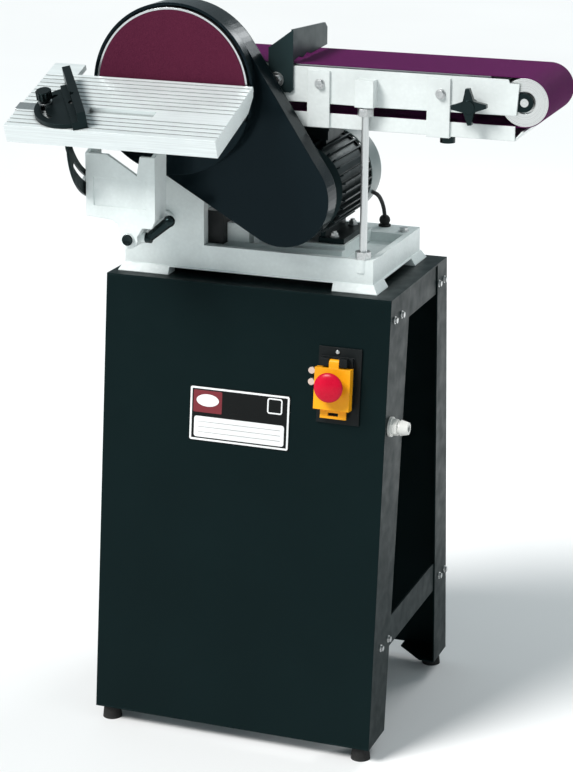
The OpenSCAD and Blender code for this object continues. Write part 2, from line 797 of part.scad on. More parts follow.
module table() {
    grooves = 14;
    groove_pitch = 10.5;
    groove_w = 3;
    tab_w = 49;
    tab_d = 30;
    skirt_t = 5;
    slot_end_x = -88;
    color("silver") on_table(0, 0, 0) difference() {
        union() {
            box(table_x0, table_x1, -table_d, 0, -table_t, 0);
            box(table_x0, table_x0 + tab_w, -1, tab_d, -table_t, 0);
            box(table_x0, table_x1, -table_d, -table_d + skirt_t, -skirt_d, 0);
            for (x = [table_x0, table_x1 - skirt_t])
                along_x(x, x + skirt_t)
                    polygon([[0, 0], [-4, -14], [-30, -skirt_d], [-table_d, -skirt_d], [-table_d, 0]]);
            // Rib that carries the mitre slot
            box(table_x0, slot_end_x + 8, -slot_s - 16, -slot_s + 16, -slot_depth - 7, 0);
            // Hinge lugs just inside the bracket's two arms
            for (x = lug_x)
                difference() {
                    along_x(x, x + lug_t) {
                        translate([-hinge_s, -hinge_d]) circle(r = ear_r);
                        polygon([[-hinge_s - ear_r, -hinge_d], [-hinge_s + ear_r, -hinge_d], [-1.5, -1], [-22, -1]]);
                    }
                    cyl_x(-hinge_s, -hinge_d, x - 1, x + lug_t + 1, pin_r + fit);
                }
        }
        box(table_x0 - 1, slot_end_x, -slot_s - slot_w / 2, -slot_s + slot_w / 2, -slot_depth, 1);
        for (i = [0:grooves - 1]) {
            s = 7 + i * groove_pitch;
            if (abs(s - slot_s) > 12)
                box(table_x0 - 1, table_x1 + 1, -s - groove_w / 2, -s + groove_w / 2, -1.2, 1);
        }
    }
}

// A point s down the table's slope and h off its face, as (Y, Z) from the hinge
function table_point(s, h) = [
    -(s - hinge_s) * cos(table_tilt) - (h + hinge_d) * sin(table_tilt),
    -(s - hinge_s) * sin(table_tilt) + (h + hinge_d) * cos(table_tilt)
];

// Arc plate under the table's left, with the slot that the tilt bolt runs in
module tilt_quadrant() {
    down = 270;         // direction straight below the hinge
    outline_r = 96;
    leg_h = -table_t - 0.1;
    color(black) translate([0, hinge_y, hinge_z]) along_x(quadrant_x, quadrant_x + quadrant_t) difference() {
        union() {
            intersection() {
                translate([-21, -59]) circle(r = outline_r);
                ring_sector(quadrant_r - 12, 180, down - 57, down + 6);
            }
            // Leg up to the table's underside
            polygon([table_point(slot_s + 18.5, leg_h), table_point(slot_s + 42, leg_h),
                     [-119, -68], [-112, -80], [-104, -74]]);
        }
        curved_slot(quadrant_r, clamp_r + gap, down - 46, down + 1);
    }
}

module bracket_side() {
    polygon([[bracket_front_y, bracket_z0], [bracket_back_y, bracket_z0], [bracket_back_y + 4, 912],
             [hinge_y + ear_r, hinge_z], [hinge_y - ear_r, hinge_z], [-62, 966], [-78, 934],
             [-92, 918], [bracket_front_y, 912]]);
    translate([hinge_y, hinge_z]) circle(r = ear_r);
}

module table_bracket() {
    lug_r = 14;
    boss_x1 = rod_x + 19;
    top_z = 912;
    color(casting_white) difference() {
        union() {
            for (x = [bracket_x0, bracket_x1 - flange_t])
                along_x(x, x + flange_t) bracket_side();
            // Face plate with a triangular notch in its top edge
            along_y(bracket_front_y, bracket_front_y + flange_t)
                polygon([[bracket_x0, bracket_z0], [-166, bracket_z0 - 3], [-152, bracket_z0 - 12],
                         [bracket_x1 - 6, bracket_z0 - 12], [bracket_x1, bracket_z0], [bracket_x1, top_z],
                         [-121, top_z], [-126, 884], [-172, top_z], [bracket_x0, top_z]]);
            // Neck and lug that ride on the rod
            cyl_y(rod_x, rod_z, bracket_front_y, bracket_back_y, lug_r);
            along_y(bracket_front_y, bracket_back_y)
                polygon([[rod_x - lug_r + 1, rod_z + 4], [rod_x + lug_r - 1, rod_z + 4],
                         [bracket_x1 - 10, bracket_z0 + 4], [-160, bracket_z0 + 4]]);
            // Boss for the lock lever's screw
            cyl_x(lever_y, rod_z, rod_x, boss_x1, 8);
        }
        cyl_y(rod_x, rod_z, bracket_front_y - 1, bracket_back_y + 1, rod_r + fit);
        for (x = [bracket_x0 - 1, bracket_x1 - flange_t - 1])
            cyl_x(hinge_y, hinge_z, x, x + flange_t + 2, pin_r);
        cyl_x(clamp_y, clamp_z, bracket_x0 - 1, bracket_x0 + flange_t + 1, clamp_r);
        // Shallow panel in the face
        box(bracket_x0 + 12, bracket_x1 - 14, bracket_front_y - 1, bracket_front_y + 1.5, bracket_z0 + 16, 878);
        cyl_x(lever_y, rod_z, rod_x + rod_r + 2, boss_x1 + 1, 4 + fit);
    }
}

// Hinge pins of the table, and the bolt that clamps the quadrant
module bracket_bolts() {
    pin_spans = [[bracket_x0 - 3, lug_x[0] + lug_t + 2], [lug_x[1] - 2, bracket_x1 + 3]];
    color(steel) {
        for (span = pin_spans)
            cyl_x(hinge_y, hinge_z, span[0], span[1], pin_r);
        cyl_x(clamp_y, clamp_z, quadrant_x - 2, bracket_x0 + flange_t + 8, clamp_r);
        translate([quadrant_x - gap, clamp_y, clamp_z]) rotate([0, -90, 0]) hex_head(7, 5);
        translate([bracket_x0 + flange_t, clamp_y, clamp_z]) rotate([0, 90, 0]) cylinder(h = 6, r = 7, $fn = 6);
    }
}

lever_y = -88;

module lock_lever() {
    arm = 39;
    lift = 40;
    root = 6;
    hub_x = rod_x + 19 + gap;
    color(black) translate([hub_x, lever_y, rod_z]) {
        cyl_x(0, 0, 0, 8, 7.5);
        cyl_x(0, 0, -7.5, 0, 4);
        translate([root, 0, 2]) rotate([0, 90 - lift, 0]) cylinder(h = arm, r1 = 6.8, r2 = 8);
        translate([root + arm * cos(lift), 0, 2 + arm * sin(lift)]) sphere(r = 8.6);
    }
}

module mitre_bar() {
    bar_w = slot_w - 2 * fit;
    bar_right = -190;
    color(steel) on_table(0, 0, 0) {
        box(mitre_bar_end, bar_right, -slot_s - bar_w / 2, -slot_s + bar_w / 2, -slot_depth + fit, -gap);
        cyl_z(mitre_x, -slot_s, -gap - 1, 9, mitre_pivot_r);
        cyl_z(mitre_x - mitre_knob_r, -slot_s, -gap - 1, 22, mitre_stud_r);
    }
}

mitre_pivot_r = 5;
mitre_stud_r = 3;
mitre_plate_t = 7;
fence_front = -62;  // ends of the fence along itself, from the pivot
fence_back = 84;
fence_t = 12;
fence_h = 26;

// The mitre head's own frame: origin on its pivot, X away from the fence's work face, Y along the fence
module on_mitre() {
    on_table(mitre_x, slot_s, 0) rotate([0, 0, mitre_swivel]) children();
}

module mitre_head() {
    slot_centre = 180 - mitre_swivel;
    color(black) on_mitre() difference() {
        union() {
            intersection() {
                translate([0, 0, gap]) cylinder(h = mitre_plate_t, r = protractor_r);
                box(-protractor_r, 4, -protractor_r, protractor_r, 0, 20);
            }
            box(0, fence_t, fence_front, fence_back, gap, fence_h);
            box(-9, fence_t, fence_front, protractor_r, gap, mitre_plate_t + 5);
        }
        translate([0, 0, -1]) cylinder(h = 40, r = mitre_pivot_r + fit);
        translate([0, 0, -1]) linear_extrude(20)
            curved_slot(mitre_knob_r, mitre_stud_r + gap, slot_centre - 32, slot_centre + 64);
    }
}

// Washer under the locking knob
module mitre_washer() {
    color(steel) on_table(mitre_x - mitre_knob_r, slot_s, mitre_plate_t + 2 * gap) difference() {
        cylinder(h = 2.4, r = 10);
        translate([0, 0, -1]) cylinder(h = 5, r = mitre_stud_r);
    }
}

module mitre_knob() {
    ridges = 12;
    knob_r = 11;
    color(black) on_table(mitre_x - mitre_knob_r, slot_s, mitre_plate_t + 2.4 + 3 * gap) difference() {
        union() {
            cylinder(h = 4, r1 = 7, r2 = 10);
            translate([0, 0, 4]) cylinder(h = 13, r = knob_r - 0.6);
            for (i = [0:ridges - 1])
                rotate((i + 0.5) * 360 / ridges) translate([knob_r - 1.2, 0, 5]) cylinder(h = 11, r = 1.9);
        }
        translate([0, 0, -1]) cylinder(h = 14, r = mitre_stud_r + fit);
    }
}

// ---------------------------------------------------------------- belt arm

module arm_side_outline() {
    translate([disc_x, disc_z]) circle(r = 40);
    polygon([[disc_x, frame_top_z], [frame_end_x - 14, frame_top_z], [frame_end_x - 12, frame_top_z - 5],
             [frame_end_x + 2, frame_top_z - 6], [frame_end_x - 1, frame_low_z + 2], [180, frame_low_z],
             [70, frame_low_z + 1], [10, frame_low_z], [disc_x, disc_z - 40]]);
}

module arm_frame() {
    bar_t = 12;
    bars_x = [-40, 150, guide_x];
    bar_low_z = disc_z - 16;
    color(casting_white) difference() {
        union() {
            along_y(arm_wall_y, arm_wall_y + arm_wall_t) arm_side_outline();
            along_y(arm_back_y - arm_wall_t, arm_back_y) arm_side_outline();
            // Cross bars between the walls, which carry the platen
            for (x = bars_x)
                box(x, x + bar_t, arm_wall_y, arm_back_y, bar_low_z, platen_z);
            // Lug that rests on the support post
            box(post_x - 14, post_x + 14, post_y - 9, arm_wall_y + 1, disc_z - 19, disc_z + 20);
            // Thicker pad behind the tracking screw
            box(star_x - 10, star_x + 10, arm_wall_y, belt_y - 0.5, disc_z - 16, disc_z + 10);
        }
        for (y = [arm_wall_y - 1, arm_back_y - arm_wall_t - 1])
            cyl_y(disc_x, disc_z, y, y + arm_wall_t + 2, pivot_r);
        // Shallow recess near the pivot end
        box(4, 54, arm_wall_y - 1, arm_wall_y + 1, disc_z - 6, frame_top_z - 4);
        cyl_y(star_x, star_z, arm_wall_y - 1, belt_y, star_screw_r + fit);
        cyl_y(stop_bolt_x, stop_bolt_z, arm_wall_y - 1, arm_wall_y + arm_wall_t + 1, stop_bolt_r);
        cyl_x(yoke_y, idler_z, guide_x - 1, guide_x + bar_t + 1, stem_guide_r + fit);
    }
}

module platen() {
    color(steel)
        box(disc_x + 46, idler_x - 50, belt_y + 2, belt_back_y - 2, platen_z, disc_z + roller_r - gap);
}

module drive_drum() {
    color("silver") difference() {
        cyl_y(disc_x, disc_z, belt_y + 0.5, belt_back_y - 0.5, roller_r - gap);
        cyl_y(disc_x, disc_z, belt_y, belt_back_y, spindle_r);
    }
}

axle_r = 6;

module idler_roller() {
    recess_r = 16;
    color("silver") difference() {
        cyl_y(idler_x, idler_z, belt_y, belt_back_y, roller_r - gap);
        for (y = [belt_y - 1, belt_back_y - 6])
            cyl_y(idler_x, idler_z, y, y + 7, recess_r);
        cyl_y(idler_x, idler_z, belt_y - 1, belt_back_y + 1, axle_r + fit);
    }
}

module idler_axle() {
    color(steel) cyl_y(idler_x, idler_z, arm_wall_y + arm_wall_t + 0.1, arm_back_y - arm_wall_t - 0.1, axle_r);
}

// Fork that carries the idler's axle and slides in the arm on its stem
module tension_yoke() {
    cheek_t = 1.5;
    end_r = 13;
    bridge_x = idler_x - 50;
    bridge_t = 8;
    front_y = arm_wall_y + arm_wall_t + 0.2;
    back_y = arm_back_y - arm_wall_t - 0.2;
    color(black) difference() {
        union() {
            for (y = [front_y, back_y - cheek_t]) {
                box(bridge_x, idler_x, y, y + cheek_t, idler_z - end_r, idler_z + end_r);
                cyl_y(idler_x, idler_z, y, y + cheek_t, end_r);
            }
            box(bridge_x, bridge_x + bridge_t, front_y, back_y, idler_z - end_r, idler_z + end_r);
            cyl_x(yoke_y, idler_z, guide_x - 14, bridge_x + 1, stem_guide_r);
        }
        cyl_y(idler_x, idler_z, front_y - 1, back_y + 1, axle_r);
    }
}

module star_knob() {
    lobes = 4;
    tip_r = 26;
    hub_y = arm_wall_y - 28;
    color(black) {
        cyl_y(star_x, star_z, arm_wall_y - 10, belt_y - 1, star_screw_r);
        cyl_y(star_x, star_z, arm_wall_y - 18, arm_wall_y - 1, 8);
        translate([star_x, arm_wall_y - 26, star_z]) rotate([0, -5, 0])
            along_y(0, 9) star_outline(lobes, tip_r, 11);
        cyl_y(star_x, star_z, hub_y, arm_wall_y - 10, 9);
    }
}

// A flat star whose points alternate with hollows
module star_outline(points, outer, inner) {
    step = 360 / points;
    polygon([for (i = [0:points - 1]) each [
        outer * [cos(i * step - 6), sin(i * step - 6)], outer * [cos(i * step + 6), sin(i * step + 6)],
        inner * [cos(i * step + step / 2), sin(i * step + step / 2)]]]);
}

module lower_guard_side() {
    polygon([[26, guard_top_z], [frame_end_x - 2, guard_top_z], [frame_end_x - 2, guard_low_z], [45, guard_low_z]]);
}

module lower_guard() {
    sheet_t = 2;
    lip_x = frame_end_x - 2;
    color(casting_white) difference() {
        union() {
            along_y(arm_wall_y, arm_wall_y + sheet_t) lower_guard_side();
            along_y(arm_back_y - sheet_t, arm_back_y) lower_guard_side();
            box(45, lip_x, arm_wall_y, arm_back_y, guard_low_z, guard_low_z + sheet_t);
            // Lip turned up under the idler
            along_y(arm_wall_y + sheet_t, arm_back_y - sheet_t)
                polygon([[lip_x - 3, guard_low_z], [lip_x, guard_low_z], [lip_x + 12, guard_low_z + 13],
                         [lip_x + 9, guard_low_z + 14]]);
        }
        cyl_z(thumb_x, thumb_y, guard_low_z - 1, guard_low_z + 3, 3 + fit);
    }
}

strap_x = [94, 274];
strap_w = 34;
strap_t = 3;
strap_bolts = [[96, disc_z + 9], [277, disc_z + 6]];

// Straps that hang the lower guard from the arm, front and back; the second one folds under it
module guard_straps() {
    top_z = frame_top_z - 4;
    foot_t = 2;
    color(casting_white) difference() {
        union() {
            for (i = [0, 1]) {
                low_z = guard_low_z - (i == 0 ? 0 : foot_t);
                box(strap_x[i] - strap_w / 2, strap_x[i] + strap_w / 2, arm_wall_y - strap_t, arm_wall_y, low_z, top_z);
                box(strap_x[i] - strap_w / 2, strap_x[i] + strap_w / 2, arm_back_y, arm_back_y + 1.5, guard_low_z, top_z);
            }
            box(strap_x[1] - strap_w / 2, strap_x[1] + strap_w / 2, arm_wall_y - 1, thumb_y + 14,
                guard_low_z - foot_t, guard_low_z);
        }
        cyl_z(thumb_x, thumb_y, guard_low_z - 3, guard_low_z + 1, 3 + fit);
    }
}

// Strap bolts, and the bolt with a large washer that clamps the work stop
module arm_bolts() {
    washer_y = arm_wall_y - 0.1 - stop_t - gap;
    color(steel) {
        for (spot = strap_bolts)
            translate([spot[0], arm_wall_y - strap_t, spot[1]]) rotate([90, 0, 0]) hex_head(6, 4);
        cyl_y(stop_bolt_x, stop_bolt_z, washer_y - 2, arm_wall_y + arm_wall_t, stop_bolt_r);
        cyl_y(stop_bolt_x, stop_bolt_z, washer_y - 2, washer_y, 11);
        translate([stop_bolt_x, washer_y - 2, stop_bolt_z]) rotate([90, 0, 0]) cylinder(h = 5, r = 7, $fn = 6);
    }
}

module thumb_screw() {
    knob_top_z = guard_low_z - 2 - gap;
    color(black) {
        cyl_z(thumb_x, thumb_y, knob_top_z - 9, knob_top_z, 11);
        cyl_z(thumb_x, thumb_y, knob_top_z - 1, guard_low_z + 6, 3);
    }
}

// The belt is a closed loop: two straight runs and a half turn round each roller
module loop_outline(r) {
    translate([disc_x, disc_z]) circle(r = r);
    translate([idler_x, idler_z]) circle(r = r);
    polygon([[disc_x, disc_z - r], [idler_x, idler_z - r], [idler_x, idler_z + r], [disc_x, disc_z + r]]);
}

module abrasive_belt() {
    color(belt_purple) along_y(belt_y, belt_back_y) difference() {
        loop_outline(belt_r);
        loop_outline(roller_r);
    }
}

module work_stop() {
    back_y = arm_wall_y - 0.1;
    front_y = back_y - stop_t;
    blade_z = disc_z + belt_r + 3;
    blade_top_z = blade_z + 46;
    far_y = belt_back_y - 8;
    slot_low_z = stop_bolt_z - 8.5;
    slot_high_z = stop_bolt_z + 1.5;
    color(black) difference() {
        union() {
            along_y(front_y, back_y)
                polygon([[stop_x0, disc_z - 7], [stop_x1 - 4, disc_z - 7], [stop_x1, disc_z - 3],
                         [stop_x1, blade_top_z], [stop_x0, blade_z + 18]]);
            // Blade bent back over the belt, with a ragged lower edge and a cut-off far corner
            along_x(stop_x1 - stop_t, stop_x1)
                polygon([[front_y, blade_z], [70, blade_z + 4], [86, blade_z], [104, blade_z + 5], [122, blade_z + 1],
                         [far_y, blade_z + 4], [far_y, blade_z + 30], [far_y - 10, blade_z + 38], [front_y, blade_top_z]]);
        }
        for (z = [slot_low_z, slot_high_z])
            cyl_y(stop_bolt_x, z, front_y - 1, back_y + 1, stop_bolt_r + gap);
        box(stop_bolt_x - stop_bolt_r - gap, stop_bolt_x + stop_bolt_r + gap, front_y - 1, back_y + 1, slot_low_z, slot_high_z);
    }
}

module support_post() {
    color(steel) cyl_z(post_x, post_y, post_foot_z, post_top_z, post_r - fit);
}

module post_nuts() {
    color(steel)
        for (z = [base_top_z, post_top_z - 12.5])
            translate([post_x, post_y, z]) difference() {
                cylinder(h = 11, r = 12, $fn = 6);
                translate([0, 0, -1]) cylinder(h = 13, r = post_r - fit);
            }
}

row_frame() stand_front();
row_frame() stand_rear();
row_frame() stand_top();
row_frame() side_rails();
row_frame() rubber_feet();
row_frame() stand_bolts();
row_frame() name_plate();
row_frame() switch_box();
row_frame() switch_flap();
row_frame() stop_button();
row_frame() start_button();
row_frame() indicator_lamps();
row_frame() cable_gland();
row_frame() base_casting();
row_frame() mounting_bolts();
row_frame() motor_body();
row_frame() motor_stator();
row_frame() motor_end_shields();
row_frame() fan_cowl();
row_frame() motor_fan();
row_frame() motor_shaft();
row_frame() motor_pulley();
row_frame() terminal_box();
row_frame() motor_cable();
row_frame() cable_grommet();
row_frame() v_belt();
row_frame() spindle_pulley();
row_frame() spindle_shaft();
row_frame() ball_bearings();
row_frame() belt_cover();
row_frame() cover_back();
row_frame() disc_guard();
row_frame() disc_plate();
row_frame() abrasive_disc();
row_frame() dust_chute();
row_frame() table();
row_frame() tilt_quadrant();
row_frame() table_bracket();
row_frame() bracket_bolts();
row_frame() table_rod();
row_frame() lock_lever();
row_frame() mitre_bar();
row_frame() mitre_head();
row_frame() mitre_washer();
row_frame() mitre_knob();
row_frame() arm_frame();
row_frame() platen();
row_frame() drive_drum();
row_frame() idler_roller();
row_frame() idler_axle();
row_frame() tension_yoke();
row_frame() star_knob();
row_frame() lower_guard();
row_frame() guard_straps();
row_frame() arm_bolts();
row_frame() thumb_screw();
row_frame() abrasive_belt();
row_frame() work_stop();
row_frame() support_post();
row_frame() post_nuts();
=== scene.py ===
"""Looks of the belt and disc sander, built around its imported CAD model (metres, +Z up, disc facing -Y)."""

import math

import bmesh
import bpy
from mathutils import Matrix, Vector


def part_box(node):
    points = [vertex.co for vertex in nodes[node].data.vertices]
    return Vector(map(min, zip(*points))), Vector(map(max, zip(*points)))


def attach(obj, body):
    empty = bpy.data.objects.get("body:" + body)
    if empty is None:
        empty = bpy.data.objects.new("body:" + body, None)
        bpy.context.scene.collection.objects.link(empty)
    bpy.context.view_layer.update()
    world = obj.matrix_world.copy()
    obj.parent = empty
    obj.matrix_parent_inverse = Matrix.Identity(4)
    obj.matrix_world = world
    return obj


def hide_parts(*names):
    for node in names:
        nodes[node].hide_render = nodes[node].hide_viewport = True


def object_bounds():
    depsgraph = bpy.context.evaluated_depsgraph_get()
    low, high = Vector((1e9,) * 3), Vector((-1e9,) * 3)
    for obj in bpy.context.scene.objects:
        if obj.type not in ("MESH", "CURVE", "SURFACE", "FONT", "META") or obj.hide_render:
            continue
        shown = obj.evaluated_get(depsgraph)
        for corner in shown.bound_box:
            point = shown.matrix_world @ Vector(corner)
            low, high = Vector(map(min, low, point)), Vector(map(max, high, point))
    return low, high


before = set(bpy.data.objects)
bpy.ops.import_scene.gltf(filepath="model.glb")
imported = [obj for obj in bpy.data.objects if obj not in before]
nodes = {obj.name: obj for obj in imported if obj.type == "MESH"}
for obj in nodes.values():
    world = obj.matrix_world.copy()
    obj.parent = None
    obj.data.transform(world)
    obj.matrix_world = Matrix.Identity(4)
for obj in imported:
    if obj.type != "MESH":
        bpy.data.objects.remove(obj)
cad_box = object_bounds()


def box_centre(node):
    low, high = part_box(node)
    return (low + high) / 2


# ---------------------------------------------------------------- material building blocks


class Paint:
    """A Principled material under construction, with short calls for the nodes that it is made of."""

    def __init__(self, name, color, rough, metal=0.0, specular=0.5, coat=0.0, tint=(1.0, 1.0, 1.0)):
        self.material = bpy.data.materials.new(name)
        self.material.use_nodes = True
        self.tree = self.material.node_tree
        self.shader = self.tree.nodes["Principled BSDF"]
        self.set("Base Color", (*color, 1.0))
        self.set("Roughness", rough)
        self.set("Metallic", metal)
        self.set("Specular IOR Level", specular)
        self.set("Coat Weight", coat)
        self.set("Coat Roughness", 0.1)
        self.set("Specular Tint", (*tint, 1.0))
        self.coords = self.node("ShaderNodeTexCoord").outputs["Object"]

    def set(self, socket, value):
        self.shader.inputs[socket].default_value = value

    def node(self, kind, **settings):
        made = self.tree.nodes.new(kind)
        for key, value in settings.items():
            setattr(made, key, value)
        return made

    def link(self, output, target):
        self.tree.links.new(output, target)

    def placed(self, scale=(1, 1, 1), location=(0, 0, 0)):
        """Object coordinates moved by location, then stretched by scale."""
        moved = self.node("ShaderNodeVectorMath", operation="ADD")
        self.link(self.coords, moved.inputs[0])
        moved.inputs[1].default_value = location
        scaled = self.node("ShaderNodeVectorMath", operation="MULTIPLY")
        self.link(moved.outputs[0], scaled.inputs[0])
        scaled.inputs[1].default_value = scale
        return scaled.outputs[0]

    def noise(self, scale, detail=2.0, vector=None, roughness=0.5):
        made = self.node("ShaderNodeTexNoise")
        self.link(self.coords if vector is None else vector, made.inputs["Vector"])
        made.inputs["Scale"].default_value = scale
        made.inputs["Detail"].default_value = detail
        made.inputs["Roughness"].default_value = roughness
        return made.outputs["Fac"]

    def cells(self, scale, feature="F1"):
        made = self.node("ShaderNodeTexVoronoi", feature=feature)
        self.link(self.coords, made.inputs["Vector"])
        made.inputs["Scale"].default_value = scale
        return made

    def rings(self, centre, scale, detail=3.0):
        """Noise that changes only with the distance from an axis along Y through centre."""
        flat = self.placed(scale=(1, 0, 1), location=tuple(-centre))
        distance = self.node("ShaderNodeVectorMath", operation="LENGTH")
        self.link(flat, distance.inputs[0])
        made = self.node("ShaderNodeTexNoise", noise_dimensions="1D")
        self.link(distance.outputs["Value"], made.inputs["W"])
        made.inputs["Scale"].default_value = scale
        made.inputs["Detail"].default_value = detail
        return made.outputs["Fac"]

    def spread(self, value, low, high, out_low=0.0, out_high=1.0):
        made = self.node("ShaderNodeMapRange")
        self.link(value, made.inputs["Value"])
        made.inputs["From Min"].default_value = low
        made.inputs["From Max"].default_value = high
        made.inputs["To Min"].default_value = out_low
        made.inputs["To Max"].default_value = out_high
        return made.outputs["Result"]

    def times(self, first, second):
        made = self.node("ShaderNodeMath", operation="MULTIPLY")
        for socket, value in zip(made.inputs, (first, second)):
            if isinstance(value, (int, float)):
                socket.default_value = value
            else:
                self.link(value, socket)
        return made.outputs[0]

    def mix(self, amount, first, second):
        """A colour between first and second; each is a colour or a socket."""
        made = self.node("ShaderNodeMix", data_type="RGBA")
        self.link(amount, made.inputs["Factor"])
        for name, value in (("A", first), ("B", second)):
            socket = [s for s in made.inputs if s.name == name and s.type == "RGBA"][0]
            if isinstance(value, tuple):
                socket.default_value = (*value, 1.0)
            else:
                self.link(value, socket)
        return [s for s in made.outputs if s.type == "RGBA"][0]

    def edges(self, radius):
        """(rounded normal, mask that is 1 along convex and concave edges)."""
        rounded = self.node("ShaderNodeBevel", samples=4)
        rounded.inputs["Radius"].default_value = radius
        dot = self.node("ShaderNodeVectorMath", operation="DOT_PRODUCT")
        self.link(rounded.outputs["Normal"], dot.inputs[0])
        self.link(self.node("ShaderNodeNewGeometry").outputs["Normal"], dot.inputs[1])
        return rounded.outputs["Normal"], self.spread(dot.outputs["Value"], 0.97, 0.75)

    def painted_hollow_shade(self, distance):
        """Mask that is 1 deep in grooves and corners, where shade is painted."""
        occlusion = self.node("ShaderNodeAmbientOcclusion", samples=8)
        occlusion.inputs["Distance"].default_value = distance
        return self.spread(occlusion.outputs["AO"], 0.9, 0.35)

    def finish(self, color=None, rough=None, height=None, depth=0.0001, strength=0.5, normal=None):
        if color is not None:
            self.link(color, self.shader.inputs["Base Color"])
        if rough is not None:
            self.link(rough, self.shader.inputs["Roughness"])
        if height is not None:
            bump = self.node("ShaderNodeBump")
            bump.inputs["Strength"].default_value = strength
            bump.inputs["Distance"].default_value = depth
            self.link(height, bump.inputs["Height"])
            if normal is not None:
                self.link(normal, bump.inputs["Normal"])
            self.link(bump.outputs["Normal"], self.shader.inputs["Normal"])
        elif normal is not None:
            self.link(normal, self.shader.inputs["Normal"])
        return self.material


def shade(color, factor):
    return tuple(min(1.0, channel * factor) for channel in color)


EDGE = 0.0009           # rounding of painted and moulded edges
CAST_EDGE = 0.0014
PLATED_EDGE = 0.0005
MACHINED_EDGE = 0.0006


def painted(name, color, rough, peel=260.0, peel_depth=0.00012, wear=0.35, wear_color=None, **look):
    """Sprayed enamel: orange peel, faint blotches, dust in the gloss and paint worn thin on edges."""
    paint = Paint(name, color, rough, **look)
    normal, edge = paint.edges(EDGE)
    blotch = paint.spread(paint.noise(6.0, 3.0), 0.3, 0.7)
    body = paint.mix(blotch, shade(color, 0.86), shade(color, 1.12))
    chips = paint.times(edge, paint.spread(paint.noise(140.0, 4.0), 0.45, 0.62, 0.0, wear))
    body = paint.mix(chips, body, wear_color or shade(color, 2.2))
    gloss = paint.spread(paint.noise(38.0, 5.0), 0.3, 0.7, rough * 0.82, rough * 1.2)
    return paint.finish(body, gloss, paint.noise(peel, 2.0), peel_depth, 0.35, normal)


def hammered(name, color, rough):
    """Hammer-finish casting paint: shallow dimples over a slightly uneven cast skin."""
    paint = Paint(name, color, rough, specular=0.45)
    normal, edge = paint.edges(CAST_EDGE)
    cells = paint.cells(210.0, "SMOOTH_F1")
    mottle = paint.spread(paint.noise(22.0, 4.0), 0.32, 0.68)
    body = paint.mix(mottle, shade(color, 0.93), shade(color, 1.05))
    dimple = paint.spread(cells.outputs["Distance"], 0.0, 0.7)
    body = paint.mix(paint.times(dimple, 0.35), body, shade(color, 0.86))
    # darker in patches along edges and in creases; in the creases this is painted shade
    edge_and_crease_darkening = paint.times(edge, paint.spread(paint.noise(90.0, 4.0), 0.5, 0.7, 0.0, 0.5))
    body = paint.mix(edge_and_crease_darkening, body, shade(color, 0.55))
    gloss = paint.spread(dimple, 0.0, 1.0, rough * 0.8, rough * 1.25)
    return paint.finish(body, gloss, dimple, 0.00035, 0.45, normal)


def moulded(name, color, rough, grain=900.0, grain_depth=0.00006, **look):
    """Moulded plastic: fine spark-eroded grain, soft edges with a painted highlight along them, and slight
    handling shine.
    """
    paint = Paint(name, color, rough, **look)
    normal, edge = paint.edges(EDGE)
    tone = paint.spread(paint.noise(30.0, 3.0), 0.3, 0.7)
    body = paint.mix(tone, shade(color, 0.88), shade(color, 1.1))
    # lighter along every edge: a painted highlight
    body = paint.mix(paint.times(edge, 0.3), body, shade(color, 1.8))
    gloss = paint.spread(paint.noise(60.0, 4.0), 0.3, 0.7, rough * 0.75, rough * 1.25)
    return paint.finish(body, gloss, paint.noise(grain, 2.0), grain_depth, 0.5, normal)


def rubbery(name, color, rough):
    """Rubber: matte, bloomed and a little dusty."""
    paint = Paint(name, color, rough, specular=0.35)
    normal, edge = paint.edges(EDGE)
    dust = paint.spread(paint.noise(45.0, 6.0), 0.52, 0.75, 0.0, 0.5)
    body = paint.mix(dust, color, shade(color, 3.0))
    # lighter along every edge: a painted highlight
    body = paint.mix(paint.times(edge, 0.4), body, shade(color, 2.4))
    gloss = paint.spread(paint.noise(300.0, 3.0), 0.3, 0.7, rough * 0.85, min(1.0, rough * 1.15))
    return paint.finish(body, gloss, paint.noise(500.0, 3.0), 0.0001, 0.6, normal)


def plated(name, color, rough):
    """Zinc-plated steel: soft spangle, tiny scratches and darker tarnish patches."""
    paint = Paint(name, color, rough, metal=1.0)
    normal, edge = paint.edges(PLATED_EDGE)
    spangle = paint.cells(380.0)
    grey = paint.spread(spangle.outputs["Distance"], 0.0, 0.8)
    body = paint.mix(grey, shade(color, 1.08), shade(color, 0.84))
    tarnish = paint.spread(paint.noise(70.0, 5.0), 0.5, 0.75, 0.0, 0.35)
    body = paint.mix(tarnish, body, shade(color, 0.6))
    # lighter along every edge: a painted highlight
    body = paint.mix(paint.times(edge, 0.5), body, shade(color, 1.15))
    gloss = paint.spread(grey, 0.0, 1.0, rough * 0.8, rough * 1.4)
    return paint.finish(body, gloss, paint.noise(600.0, 3.0), 0.00004, 0.4, normal)


def brushed(name, color, rough, stretch, metal=1.0, recess=None):
    """Ground or milled metal: fine lines that run along the axis whose stretch is smallest."""
    paint = Paint(name, color, rough, metal=metal)
    normal, edge = paint.edges(MACHINED_EDGE)
    lines = paint.noise(1.0, 4.0, paint.placed(scale=stretch), 0.65)
    streak = paint.spread(lines, 0.35, 0.65)
    body = paint.mix(streak, shade(color, 0.88), shade(color, 1.06))
    stain = paint.spread(paint.noise(16.0, 5.0), 0.5, 0.8, 0.0, 0.3)
    body = paint.mix(stain, body, shade(color, 0.72))
    # lighter along every edge: a painted highlight
    body = paint.mix(paint.times(edge, 0.45), body, shade(color, 1.12))
    # painted shade: darker deep in grooves and corners
    if recess is not None:
        body = paint.mix(paint.painted_hollow_shade(recess), body, shade(color, 0.3))
    gloss = paint.spread(streak, 0.0, 1.0, rough * 0.8, rough * 1.3)
    return paint.finish(body, gloss, lines, 0.00003, 0.4, normal)


